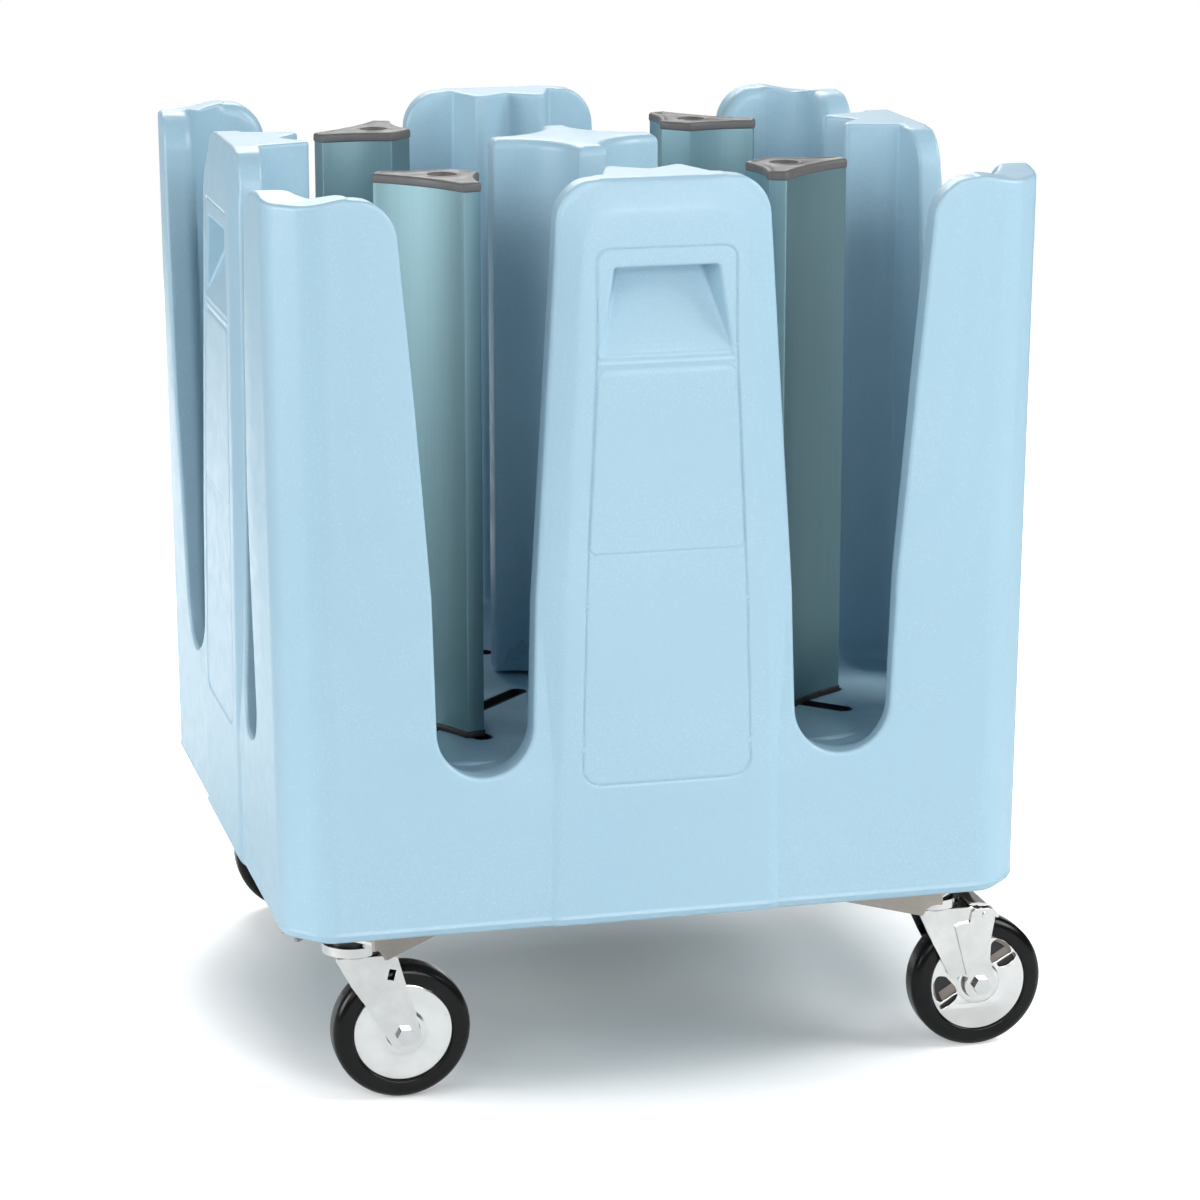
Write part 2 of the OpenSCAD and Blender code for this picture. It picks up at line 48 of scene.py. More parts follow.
# ---------------------------------------------------------------- dimensions, mm
SWIVEL, TRAIL, WHEEL_R, TYRE_W = 275.0, 44.0, 63.5, 32.0
OX = -(SWIVEL + TRAIL + WHEEL_R - 350.0) / 2.0      # body's middle in the row frame
BASE_Z, FLOOR_Z, MID_Z, COR_Z = 170.0, 316.0, 841.0, 834.0
HALF_TOP, HALF_BOT = 350.0, 344.2
HUB = 160.0
QUADS = {"front_left": (-1, -1), "front_right": (1, -1), "rear_left": (-1, 1), "rear_right": (1, 1)}


# ---------------------------------------------------------------- outlines
def fillet(pts, radii, n=8):
    """Rounds each corner of a closed outline with its own radius."""
    pts = [np.array(p, float) for p in pts]
    if not hasattr(radii, "__len__"):
        radii = [radii] * len(pts)
    out = []
    for i, p in enumerate(pts):
        a, b, r = pts[i - 1], pts[(i + 1) % len(pts)], radii[i]
        da, db = a - p, b - p
        la, lb = np.linalg.norm(da), np.linalg.norm(db)
        da, db = da / la, db / lb
        cosang = np.clip(np.dot(da, db), -1, 1)
        ang = math.acos(cosang)
        if r <= 0 or abs(ang - math.pi) < 1e-3:
            out.append(p)
            continue
        t = min(r / math.tan(ang / 2), 0.49 * la, 0.49 * lb)
        r = t * math.tan(ang / 2)
        bis = (da + db) / np.linalg.norm(da + db)
        c = p + bis * (r / math.sin(ang / 2))
        p0, p1 = p + da * t, p + db * t
        a0 = math.atan2(*(p0 - c)[::-1])
        a1 = math.atan2(*(p1 - c)[::-1])
        d = (a1 - a0 + math.pi) % (2 * math.pi) - math.pi
        for k in range(n + 1):
            th = a0 + d * k / n
            out.append(c + r * np.array([math.cos(th), math.sin(th)]))
    return np.array(out)


def inset(poly, d):
    """Moves a closed counter-clockwise outline inwards by d."""
    p = np.asarray(poly, float)
    e0 = p - np.roll(p, 1, 0)
    e1 = np.roll(p, -1, 0) - p
    e0 /= np.maximum(np.linalg.norm(e0, axis=1, keepdims=True), 1e-9)
    e1 /= np.maximum(np.linalg.norm(e1, axis=1, keepdims=True), 1e-9)
    n0 = np.stack([-e0[:, 1], e0[:, 0]], 1)
    n1 = np.stack([-e1[:, 1], e1[:, 0]], 1)
    m = n0 + n1
    k = 1.0 / np.maximum((m * n0).sum(1), 0.35)
    return p + m * (k * d)[:, None]


def area2(p):
    x, y = p[:, 0], p[:, 1]
    return float(np.sum(x * np.roll(y, -1) - np.roll(x, -1) * y))


def ccw(p):
    p = np.asarray(p, float)
    return p if area2(p) > 0 else p[::-1].copy()


def bow(a, b, s, n):
    """Points on the circle through a and b with a bulge of s to the left of a->b."""
    a, b = np.array(a, float), np.array(b, float)
    d = b - a
    l = np.linalg.norm(d)
    r = ((l / 2) ** 2 + s * s) / (2 * abs(s))
    nrm = np.array([-d[1], d[0]]) / l
    c = (a + b) / 2 + nrm * (s - r if s > 0 else s + r)
    a0 = math.atan2(*(a - c)[::-1])
    a1 = math.atan2(*(b - c)[::-1])
    da = (a1 - a0 + math.pi) % (2 * math.pi) - math.pi
    return [c + r * np.array([math.cos(a0 + da * k / n), math.sin(a0 + da * k / n)]) for k in range(n + 1)]


def arc(cx, cy, r, a0, a1, n):
    t = np.radians(np.linspace(a0, a1, n + 1))
    return [np.array([cx + r * math.cos(q), cy + r * math.sin(q)]) for q in t]


# ---------------------------------------------------------------- distance fields
def poly_sdf(px, py, poly):
    """Signed distance to a closed outline, negative inside."""
    px, py = np.broadcast_arrays(np.asarray(px, np.float64), np.asarray(py, np.float64))
    d = np.full(px.shape, 1e12)
    ins = np.zeros(px.shape, bool)
    q = np.asarray(poly, float)
    for (ax, ay), (bx, by) in zip(q, np.roll(q, -1, 0)):
        ex, ey = bx - ax, by - ay
        l2 = ex * ex + ey * ey
        if l2 < 1e-12:
            continue
        wx, wy = px - ax, py - ay
        t = np.clip((wx * ex + wy * ey) / l2, 0, 1)
        np.minimum(d, (wx - ex * t) ** 2 + (wy - ey * t) ** 2, out=d)
        if ay != by:
            hit = ((ay <= py) & (by > py)) | ((by <= py) & (ay > py))
            ins ^= hit & (px < ex * (py - ay) / ey + ax)
    return np.where(ins, -1.0, 1.0) * np.sqrt(d)


class Table:
    """A 2-D field sampled on a fine grid and read back bilinearly."""

    def __init__(self, fn, x0, x1, y0, y1, step):
        self.x0, self.y0, self.s = x0, y0, step
        xs = np.arange(x0, x1 + step, step)
        ys = np.arange(y0, y1 + step, step)
        self.t = fn(xs[:, None], ys[None, :]).astype(np.float32)

    def __call__(self, x, y):
        fx = np.clip((x - self.x0) / self.s, 0, self.t.shape[0] - 1.001)
        fy = np.clip((y - self.y0) / self.s, 0, self.t.shape[1] - 1.001)
        i, j = fx.astype(np.int32), fy.astype(np.int32)
        fx, fy = fx - i, fy - j
        t = self.t
        return (t[i, j] * (1 - fx) * (1 - fy) + t[i + 1, j] * fx * (1 - fy)
                + t[i, j + 1] * (1 - fx) * fy + t[i + 1, j + 1] * fx * fy)


def both(a, b, r):
    """Intersection with the shared edge rounded to radius r."""
    return np.minimum(np.maximum(a, b), -r) + np.hypot(np.maximum(a + r, 0), np.maximum(b + r, 0))


def step(x, a, b):
    t = np.clip((x - a) / (b - a), 0, 1)
    return t * t * (3 - 2 * t)


# well's outline in folded coordinates: u across a side, v along it
WELL = fillet(
    [(-200, -60), (310, -60), (306, -50), (253, -34), (279, 0), (253, 34), (306, 50), (314, 119), (322, 160),
     (322, 322), (160, 322), (-200, 322)],
    [0, 0, 4, 7, 5, 7, 4, 30, 30, 50, 30, 0], 12)
# slot between the towers, in elevation: v along the side, z up
SLOT = np.array(
    [(59, 960)] + arc(59, 803, 38, 90, 0, 16) + [np.array((117.5, 470))] + arc(164.5, 359, 44, 180, 360, 36)
    + [np.array((212.5, 481)), np.array((226, 650))] + arc(279, 794, 40, 180, 90, 16) + [np.array((279, 960))])
PANEL = fillet([(-78, 301), (78, 301), (73.5, 470), (66.5, 625), (63, 695), (63, 780), (-63, 780), (-63, 695),
                (-66.5, 625), (-73.5, 470)], [17, 17, 0, 120, 60, 11, 11, 60, 120, 0], 8)
LABEL = fillet([(-71, 511), (71, 511), (62.5, 674), (-62.5, 674)], [7, 7, 8, 8], 8)
STEP_OUT = fillet([(-102, 60), (102, 60), (92, 470), (73, 814), (-73, 814), (-92, 470)], [0, 0, 60, 34, 34, 60], 10)

T_WELL = Table(lambda x, y: poly_sdf(x, y, WELL), -4, 372, -4, 372, 0.5)
T_SLOT = Table(lambda x, y: poly_sdf(x, y, SLOT), -4, 360, 150, 870, 0.5)
T_PANEL = Table(lambda x, y: poly_sdf(x, y, PANEL), -2, 130, 160, 860, 0.5)
T_LABEL = Table(lambda x, y: poly_sdf(x, y, LABEL), -2, 130, 160, 860, 0.5)
T_STEP = Table(lambda x, y: poly_sdf(x, y, STEP_OUT), -2, 160, 160, 860, 0.5)


def relief(v, z):
    """How far a side's face is sunk at (v, z)."""
    # the handle tower's face leans in, proud of the base low down, with its borders falling away
    lean = np.interp(z, [170, 300, 380, 430, 480, 610, 700, 780, 841], [-3.0, -1.8, -0.3, 0.6, 1.6, 4.6, 6.9, 8.6, 10.0])
    fall = np.interp(z, [170, 300, 350, 395, 450, 600, 841], [3.0, 1.8, 4.2, 5.6, 6.3, 7.2, 7.6])
    wide = np.interp(z, [170, 320, 480, 841], [7.0, 8.0, 23.0, 25.0])
    d = T_STEP(v, z)
    ramp = np.clip(0.5 * (d + np.sqrt(d * d + 9.0)) / wide, 0, 1)
    face = (lean + fall * ramp) * (1 - step(v, 126, 152))
    # the corner towers' free edges stand a little proud
    flare = 4.5 * (1 - step(v, 236, 318)) * step(v, 150, 178) * np.interp(z, [330, 560, 720, 841], [0, 1, 1, 0.7])
    d = T_PANEL(v, z)
    line = 1.15 * np.exp(-(d / 1.05) ** 2) + 0.3 * (1 - step(d, -1.2, 1.2))
    d = T_LABEL(v, z)
    line = line + 0.75 * np.exp(-(d / 1.0) ** 2) - 0.4 * (1 - step(d, -1.0, 1.0))
    # two fine beads under the pull pocket
    w = step(64 - v, 0, 5)
    line = line - w * (1.5 * np.exp(-((z - 686.6) / 1.9) ** 2) + 0.7 * np.exp(-((z - 679.5) / 1.5) ** 2))
    return face - flare + line


def bar(x, y, c, s, l, r):
    t = np.clip(x * c + y * s, 0, l)
    return np.hypot(x - t * c, y - t * s) - r


def star(a, b, r):
    """Floor groove: hub, long inward arm, outward arm and two side arms."""
    x, y = a - HUB, b - HUB
    q = math.sqrt(0.5)
    d = bar(x, y, q, q, 68, r)
    d = np.minimum(d, bar(x, y, -q, -q, 122, r))
    for ang in (45 + 64, 45 - 64):
        d = np.minimum(d, bar(x, y, math.cos(math.radians(ang)), math.sin(math.radians(ang)), 62, r))
    return d


def body_field(x, y, z):
    ax, ay = np.abs(x), np.abs(y)
    u, v = np.maximum(ax, ay), np.minimum(ax, ay)
    h = HALF_BOT + (HALF_TOP - HALF_BOT) * (z - BASE_Z) / (MID_Z - BASE_Z)
    side = u - h + relief(v, z)
    # soft facet down each outer corner
    side = both(side, (u + v - (2 * h - 34)) * math.sqrt(0.5), 11)
    top = z - np.where(v < 164.5, MID_Z, COR_Z - 5.5 * step(v, 282, 320))
    blk = both(side, top, 4.5)
    # fine ridge where the mould parted, just above the lower edge
    blk = blk - 1.1 * np.exp(-((z - (BASE_Z + 8.5)) / 1.5) ** 2) * step(-side, 6, 0)
    blk = both(blk, BASE_Z - z, 9)
    # recess over each caster's top plate
    rc = both(np.hypot(ax - SWIVEL, ay - SWIVEL) - 54, z - (BASE_Z + 14), 3)
    blk = both(blk, -rc, 2.5)
    well = both(T_WELL(u, v), FLOOR_Z - z, 11)
    slot = np.maximum(T_SLOT(v, z), 300 - u)
    sol = both(-well, -slot, 3.5 + 8.5 * step(v, 150, 190))
    sol = both(blk, sol, 3.5)
    # pull pocket
    sink = h - u
    hw = 51 + (764 - z) * (10.0 / 74)
    pk = both((v - hw + 0.36 * sink) / 1.06, z - 764, 3)
    back = (sink - 36 + np.maximum(758 - z, 0) * (28.6 / 69)) / 1.08
    pk = both(pk, back, 2.2)
    sol = both(sol, -pk, 2.0)
    # floor grooves and the column's socket
    g = both(star(ax, ay, 9.2), FLOOR_Z - 12.2 - z, 1.5)
    sol = both(sol, -g, 1.6)
    sk = both(np.maximum(u - 20.4, v - 20.4), FLOOR_Z - 10.2 - z, 2)
    return both(sol, -sk, 1.2)


def field_grad(fn, p, e=0.5):
    g = np.empty_like(p)
    for k in range(3):
        a, b = p.copy(), p.copy()
        a[:, k] += e
        b[:, k] -= e
        g[:, k] = fn(a[:, 0], a[:, 1], a[:, 2]) - fn(b[:, 0], b[:, 1], b[:, 2])
    return g / (2 * e)


def settle(fn, p, times=2):
    """Moves points onto the field's surface; returns them and their normals."""
    for _ in range(times):
        f = fn(p[:, 0], p[:, 1], p[:, 2])
        g = field_grad(fn, p)
        g2 = np.maximum((g * g).sum(1), 0.2)
        p = p - g * np.clip(f / g2, -2.0, 2.0)[:, None]
    g = field_grad(fn, p)
    return p, g / np.maximum(np.linalg.norm(g, axis=1, keepdims=True), 1e-9)


def nets(F, origin, h):
    """Quad mesh of the zero surface of a sampled field."""
    ins = F < 0
    nx, ny, nz = F.shape
    corners = list(product((0, 1), repeat=3))
    tot = np.zeros((nx - 1, ny - 1, nz - 1), np.int8)
    for i, j, k in corners:
        tot += ins[i:nx - 1 + i, j:ny - 1 + j, k:nz - 1 + k]
    act = (tot > 0) & (tot < 8)
    ids = np.argwhere(act)
    index = np.full(act.shape, -1, np.int64)
    index[act] = np.arange(len(ids))
    acc = np.zeros((len(ids), 3))
    cnt = np.zeros(len(ids))
    for a in corners:
        for k in range(3):
            if a[k]:
                continue
            b = list(a)
            b[k] = 1
            fa = F[ids[:, 0] + a[0], ids[:, 1] + a[1], ids[:, 2] + a[2]]
            fb = F[ids[:, 0] + b[0], ids[:, 1] + b[1], ids[:, 2] + b[2]]
            m = (fa < 0) != (fb < 0)
            t = np.zeros(len(ids))
            t[m] = fa[m] / (fa[m] - fb[m])
            q = np.tile(np.array(a, float), (len(ids), 1))
            q[:, k] += t
            acc[m] += q[m]
            cnt[m] += 1
    verts = origin + h * (ids + acc / cnt[:, None])
    faces = []
    for k in range(3):
        b, c = [m for m in range(3) if m != k]
        lo = [slice(None)] * 3
        hi = [slice(None)] * 3
        lo[k], hi[k] = slice(0, -1), slice(1, None)
        A, B = ins[tuple(lo)], ins[tuple(hi)]
        e = np.argwhere(A != B)
        e = e[(e[:, b] > 0) & (e[:, c] > 0) & (e[:, b] < F.shape[b] - 1) & (e[:, c] < F.shape[c] - 1)]
        flip = A[e[:, 0], e[:, 1], e[:, 2]]
        quad = []
        for db, dc in ((-1, -1), (0, -1), (0, 0), (-1, 0)):
            o = e.copy()
            o[:, b] += db
            o[:, c] += dc
            quad.append(index[o[:, 0], o[:, 1], o[:, 2]])
        quad = np.stack(quad, 1)
        if k == 1:
            flip = ~flip
        quad[~flip] = quad[~flip][:, ::-1]
        faces.append(quad)
    return verts, np.concatenate(faces)


# ---------------------------------------------------------------- mesh helpers
def to_mesh(name, verts, faces):
    """Mesh in metres in the row frame from millimetres about the body's middle."""
    v = np.asarray(verts, float).copy()
    v[:, 0] += OX
    v *= 0.001
    me = bpy.data.meshes.new(name)
    if isinstance(faces, np.ndarray):
        me.vertices.add(len(v))
        me.vertices.foreach_set("co", v.astype(np.float32).ravel())
        n, k = faces.shape
        me.loops.add(n * k)
        me.loops.foreach_set("vertex_index", faces.astype(np.int32).ravel())
        me.polygons.add(n)
        me.polygons.foreach_set("loop_start", np.arange(0, n * k, k, dtype=np.int32))
        me.update(calc_edges=True)
    else:
        me.from_pydata([tuple(q) for q in v], [], [tuple(int(i) for i in f) for f in faces])
        me.update(calc_edges=True)
    me.polygons.foreach_set("use_smooth", np.ones(len(me.polygons), bool))
    return me


def piece(name, me, mat, body, *nodes, slot=None):
    me.materials.clear()
    me.materials.append(mat)
    ob = bpy.data.objects.new(name, me)
    bpy.context.scene.collection.objects.link(ob)
    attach(ob, body)
    if nodes:
        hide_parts(*nodes)
    return ob


def sharp_by_angle(me, deg=32):
    bm = bmesh.new()
    bm.from_mesh(me)
    lim = math.radians(deg)
    for e in bm.edges:
        if len(e.link_faces) == 2:
            e.smooth = e.calc_face_angle(0) < lim
    bm.to_mesh(me)
    bm.free()


def loft(rings, closed=False, caps=(True, True)):
    """Faces through equal rings of points; ends closed by one polygon each."""
    n = len(rings[0])
    verts = np.concatenate([np.asarray(r, float) for r in rings])
    faces = []
    m = len(rings)
    for i in range(m if closed else m - 1):
        a, b = i * n, ((i + 1) % m) * n
        for j in range(n):
            k = (j + 1) % n
            faces.append((a + j, a + k, b + k, b + j))
    if not closed:
        if caps[0]:
            faces.append(tuple(range(n))[::-1])
        if caps[1]:
            faces.append(tuple((m - 1) * n + j for j in range(n)))
    return verts, faces


def ring(poly, z):
    p = np.asarray(poly, float)
    return np.column_stack([p[:, 0], p[:, 1], np.full(len(p), z)])


def merge(parts):
    vs, fs, n = [], [], 0
    for v, f in parts:
        vs.append(v)
        fs += [tuple(int(i) + n for i in q) for q in f]
        n += len(v)
    return np.concatenate(vs), fs


def lathe(profile, n=96, closed=False):
    """Solid of revolution about +Y: profile is (radius, y) pairs, low y to high y round the outside."""
    t = np.linspace(0, 2 * math.pi, n, endpoint=False)
    rings = [np.column_stack([r * np.cos(t), np.full(n, y), -r * np.sin(t)]) for r, y in profile]
    return loft(rings, closed=closed)


def moved(part, dx=0, dy=0, dz=0, turn=0):
    v, f = part
    v = np.asarray(v, float).copy()
    if turn:
        c, s = math.cos(math.radians(turn)), math.sin(math.radians(turn))
        v = np.column_stack([v[:, 0] * c - v[:, 1] * s, v[:, 0] * s + v[:, 1] * c, v[:, 2]])
    return v + np.array([dx, dy, dz], float), f


def plate(loops, y0, y1, ease):
    """Flat pressing in the X-Z plane between y0 and y1, cut from an outline and its holes."""
    cu = bpy.data.curves.new("plate", "CURVE")
    cu.dimensions = "2D"
    cu.fill_mode = "BOTH"
    cu.extrude = (y1 - y0) / 2 - ease
    cu.bevel_depth = ease
    cu.bevel_resolution = 1
    cu.offset = -ease
    for pts in loops:
        sp = cu.splines.new("POLY")
        sp.points.add(len(pts) - 1)
        sp.points.foreach_set("co", np.column_stack([np.asarray(pts, float), np.zeros(len(pts)), np.ones(len(pts))]).ravel())
        sp.use_cyclic_u = True
    ob = bpy.data.objects.new("plate", cu)
    bpy.context.scene.collection.objects.link(ob)
    bpy.context.view_layer.update()
    me = bpy.data.meshes.new_from_object(ob.evaluated_get(bpy.context.evaluated_depsgraph_get()))
    bpy.data.objects.remove(ob)
    bm = bmesh.new()
    bm.from_mesh(me)
    bmesh.ops.remove_doubles(bm, verts=bm.verts, dist=0.003)
    bm.verts.ensure_lookup_table()
    v = np.array([(w.co.x, (y0 + y1) / 2 + w.co.z, w.co.y) for w in bm.verts])
    f = [tuple(w.index for w in g.verts)[::-1] for g in bm.faces]
    bm.free()
    return v, f


def circle(r, n=96):
    t = np.linspace(0, 2 * math.pi, n, endpoint=False)
    return np.column_stack([r * np.cos(t), r * np.sin(t)])


# ---------------------------------------------------------------- materials
class Mat:
    """Small helper round a node tree with one Principled shader."""

    def __init__(self, name, rough=0.5, metal=0.0):
        self.m = bpy.data.materials.new(name)
        self.m.use_nodes = True
        self.t = self.m.node_tree
        self.b = next(n for n in self.t.nodes if n.type == "BSDF_PRINCIPLED")
        self.b.inputs["Roughness"].default_value = rough
        self.b.inputs["Metallic"].default_value = metal
        self.co = self.t.nodes.new("ShaderNodeTexCoord").outputs["Object"]
        self.h = None

    def link(self, a, b):
        self.t.links.new(a, b)

    def scaled(self, x, y, z):
        n = self.t.nodes.new("ShaderNodeMapping")
        n.inputs["Scale"].default_value = (x, y, z)
        self.link(self.co, n.inputs["Vector"])
        return n.outputs["Vector"]

    def noise(self, scale, detail=3.0, rough=0.5, vec=None, dist=0.0):
        n = self.t.nodes.new("ShaderNodeTexNoise")
        n.inputs["Scale"].default_value = scale
        n.inputs["Detail"].default_value = detail
        n.inputs["Roughness"].default_value = rough
        n.inputs["Distortion"].default_value = dist
        self.link(vec or self.co, n.inputs["Vector"])
        return n.outputs["Fac"]

    def cells(self, scale, vec=None, feature="F1"):
        n = self.t.nodes.new("ShaderNodeTexVoronoi")
        n.feature = feature
        n.inputs["Scale"].default_value = scale
        self.link(vec or self.co, n.inputs["Vector"])
        return n

    def ramp(self, fac, stops):
        n = self.t.nodes.new("ShaderNodeValToRGB")
        r = n.color_ramp
        while len(r.elements) < len(stops):
            r.elements.new(0.5)
        for e, (p, c) in zip(r.elements, stops):
            e.position = p
            e.color = (*c, 1) if hasattr(c, "__len__") else (c, c, c, 1)
        self.link(fac, n.inputs["Fac"])
        return n.outputs["Color"]

    def span(self, fac, a0, a1, b0, b1):
        n = self.t.nodes.new("ShaderNodeMapRange")
        for k, v in zip(("From Min", "From Max", "To Min", "To Max"), (a0, a1, b0, b1)):
            n.inputs[k].default_value = v
        self.link(fac, n.inputs["Value"])
        return n.outputs["Result"]

    def mix(self, fac, a, b, mode="MIX"):
        n = self.t.nodes.new("ShaderNodeMix")
        n.data_type = "RGBA"
        n.blend_type = mode
        for s, v in (("Factor", fac), ("A", a), ("B", b)):
            sock = next(i for i in n.inputs if i.name == s and i.enabled)
            if hasattr(v, "is_output") or hasattr(v, "links"):
                self.link(v, sock)
            elif s == "Factor":
                sock.default_value = v
            else:
                sock.default_value = (*v, 1)
        return next(o for o in n.outputs if o.enabled)

    def bump(self, fac, height, strength=1.0):
        n = self.t.nodes.new("ShaderNodeBump")
        n.inputs["Strength"].default_value = strength
        n.inputs["Distance"].default_value = height
        self.link(fac, n.inputs["Height"])
        if self.h is not None:
            self.link(self.h, n.inputs["Normal"])
        self.h = n.outputs["Normal"]
        self.link(self.h, self.b.inputs["Normal"])

    def colour(self, sock):
        self.link(sock, self.b.inputs["Base Color"])

    def rough(self, sock):
        self.link(sock, self.b.inputs["Roughness"])


def plastic_body():
    m = Mat("body_polyethylene", 0.42)
    big = m.noise(4.0, 2.0)
    fine = m.noise(240.0, 4.0, 0.6)
    base = m.ramp(big, [(0.3, (0.335, 0.520, 0.640)), (0.7, (0.352, 0.538, 0.655))])
    base = m.mix(m.span(fine, 0.3, 0.7, 0.0, 0.35), base, (0.315, 0.495, 0.615))
    # light flecks in the resin, about a millimetre across, and fewer, larger ones
    c = m.cells(520.0)
    spot = m.ramp(c.outputs["Distance"], [(0.0, 1.0), (0.22, 1.0), (0.30, 0.0)])
    pick = m.ramp(c.outputs["Color"], [(0.0, 0.0), (0.60, 0.0), (0.64, 1.0)])
    fleck = m.mix(1.0, spot, pick, "MULTIPLY")
    base = m.mix(m.mix(1.0, fleck, (0.42, 0.42, 0.42), "MULTIPLY"), base, (0.54, 0.70, 0.79))
    m.colour(base)
    m.rough(m.span(m.noise(55.0, 3.0), 0.3, 0.7, 0.36, 0.47))
    m.bump(m.noise(300.0, 3.0, 0.55), 0.00025, 0.35)
    m.bump(m.noise(14.0, 2.0, 0.5), 0.0012, 0.10)
    m.b.inputs["Specular IOR Level"].default_value = 0.6
    return m.m


def alu():
    m = Mat("divider_aluminium", 0.34, 0.85)
    v = m.scaled(1500, 1500, 8)
    n = m.noise(1.0, 3.0, 0.6, v)
    # painted shade: darker towards the foot, where the well shades the post
    z = m.t.nodes.new("ShaderNodeSeparateXYZ")
    m.link(m.co, z.inputs[0])
    painted_foot_shade = m.mix(m.span(z.outputs["Z"], 0.34, 0.70, 0.0, 1.0), (0.62, 0.68, 0.68), (0.93, 0.92, 0.92))
    m.colour(m.mix(1.0, m.ramp(n, [(0.25, (0.218, 0.358, 0.398)), (0.75, (0.244, 0.390, 0.430))]), painted_foot_shade, "MULTIPLY"))
    m.rough(m.span(m.noise(1.0, 2.0, 0.5, m.scaled(500, 500, 4)), 0.3, 0.7, 0.40, 0.47))
    m.bump(n, 0.00002, 0.15)
    return m.m


def moulded(name, lo, hi, rough=(0.42, 0.58), grain=420.0, depth=0.0002):
    m = Mat(name)
    m.colour(m.ramp(m.noise(30.0, 4.0, 0.6), [(0.3, lo), (0.7, hi)]))
    m.rough(m.span(m.noise(70.0, 3.0), 0.3, 0.7, *rough))
    m.bump(m.noise(grain, 3.0, 0.6), depth, 0.4)
    return m.m


def metal(name, lo, hi, rough=(0.15, 0.3), streak=(300, 300, 300), depth=0.00005, metallic=1.0, blot=20.0, wave=0.0):
    m = Mat(name, 0.25, metallic)
    n = m.noise(1.0, 3.0, 0.6, m.scaled(*streak))
    w = m.noise(blot, 3.0, 0.55)
    c = m.ramp(w, [(0.3, lo), (0.7, hi)])
    c = m.mix(m.span(n, 0.3, 0.7, 0.0, 0.18), c, tuple(0.8 * q for q in lo))
    m.colour(c)
    m.rough(m.span(w, 0.3, 0.7, *rough))
    m.bump(n, depth, 0.3)
    if wave:
        m.bump(m.noise(28.0, 2.0, 0.5), wave, 0.5)
    return m.m


def rubber():
    m = Mat("tyre_rubber", 0.2)
    m.colour(m.ramp(m.noise(40.0, 3.0), [(0.3, (0.003, 0.003, 0.0032)), (0.7, (0.006, 0.006, 0.0062))]))
    m.rough(m.span(m.noise(60.0, 4.0, 0.6), 0.3, 0.7, 0.16, 0.30))
    m.bump(m.noise(120.0, 3.0), 0.0002, 0.25)
    m.b.inputs["Specular IOR Level"].default_value = 0.22
    return m.m


MATS = {
    "body_polyethylene": plastic_body(),
    "black_plastic": moulded("black_plastic", (0.006, 0.006, 0.007), (0.012, 0.012, 0.013)),
    "divider_aluminium": alu(),
    "cap_plastic": moulded("cap_plastic", (0.093, 0.091, 0.092), (0.113, 0.110, 0.111), (0.45, 0.6)),
    "frame_steel": metal("frame_steel", (0.42, 0.375, 0.335), (0.52, 0.47, 0.43), (0.34, 0.48), (12, 12, 500), 0.00006),
    "zinc_fasteners": metal("zinc_fasteners", (0.60, 0.60, 0.60), (0.70, 0.70, 0.70), (0.16, 0.26)),
    "brass_inserts": metal("brass_inserts", (0.60, 0.42, 0.17), (0.70, 0.50, 0.22), (0.22, 0.34)),
    "caster_steel": metal("caster_steel", (0.62, 0.62, 0.61), (0.76, 0.76, 0.75), (0.10, 0.22), (200, 200, 200), 0.00006, blot=35.0, wave=0.0012),
    "race_black": moulded("race_black", (0.008, 0.008, 0.009), (0.018, 0.018, 0.018), (0.25, 0.4)),
    "sleeve_steel": metal("sleeve_steel", (0.45, 0.45, 0.45), (0.6, 0.6, 0.6), (0.25, 0.4)),
    "core_plastic": moulded("core_plastic", (0.17, 0.145, 0.128), (0.21, 0.18, 0.16), (0.4, 0.55)),
    "disc_steel": metal("disc_steel", (0.70, 0.70, 0.69), (0.82, 0.82, 0.81), (0.12, 0.24), (150, 150, 150), 0.00004, blot=30.0, wave=0.0012),
    "tyre_rubber": rubber(),
}

# every carried-over CAD piece gets its finish, and eased edges
SLOT_OF = {s["node"]: s["material_slot"] for s in frame["record"]["subparts"]}
for name, ob in NODES.items():
    mat = MATS[SLOT_OF[name]]
    if not ob.material_slots:
        ob.data.materials.append(mat)
    for s in ob.material_slots:
        s.material = mat


def eased(name, width, seg=2, angle=28):
    ob = NODES[name]
    d = ob.modifiers.new("flats", "DECIMATE")
    d.decimate_type = "DISSOLVE"
    d.angle_limit = math.radians(1.2)
    b = ob.modifiers.new("ease", "BEVEL")
    b.width = width * 0.001
    b.segments = seg
    b.limit_method = "ANGLE"
    b.angle_limit = math.radians(angle)
    b.harden_normals = True
    b.use_clamp_overlap = True
    ob.data.polygons.foreach_set("use_smooth", np.ones(len(ob.data.polygons), bool))


# ---------------------------------------------------------------- body
def build_body():
    vox = 3.5
    lim = 350 + 3 * vox
    n = int(math.ceil(lim / vox))
    xs = (np.arange(n) + 0.5) * vox
    zs = np.arange(BASE_Z - 3 * vox, MID_Z + 3 * vox, vox)
    X, Y = xs[:, None, None], xs[None, :, None]
    parts = []
    for k in range(0, len(zs), 24):
        Z = zs[None, None, k:k + 24]
        x, y, z = np.broadcast_arrays(X, Y, Z)
        parts.append(body_field(x, y, z).astype(np.float32))
    q = np.concatenate(parts, 2)
    half = np.concatenate([q[::-1], q], 0)
    full = np.concatenate([half[:, ::-1], half], 1)
    o = -(n - 0.5) * vox
    verts, faces = nets(full, np.array([o, o, zs[0]]), vox)
    verts, _ = settle(body_field, verts, 2)
    me = to_mesh("body", verts, faces)
    return me, verts


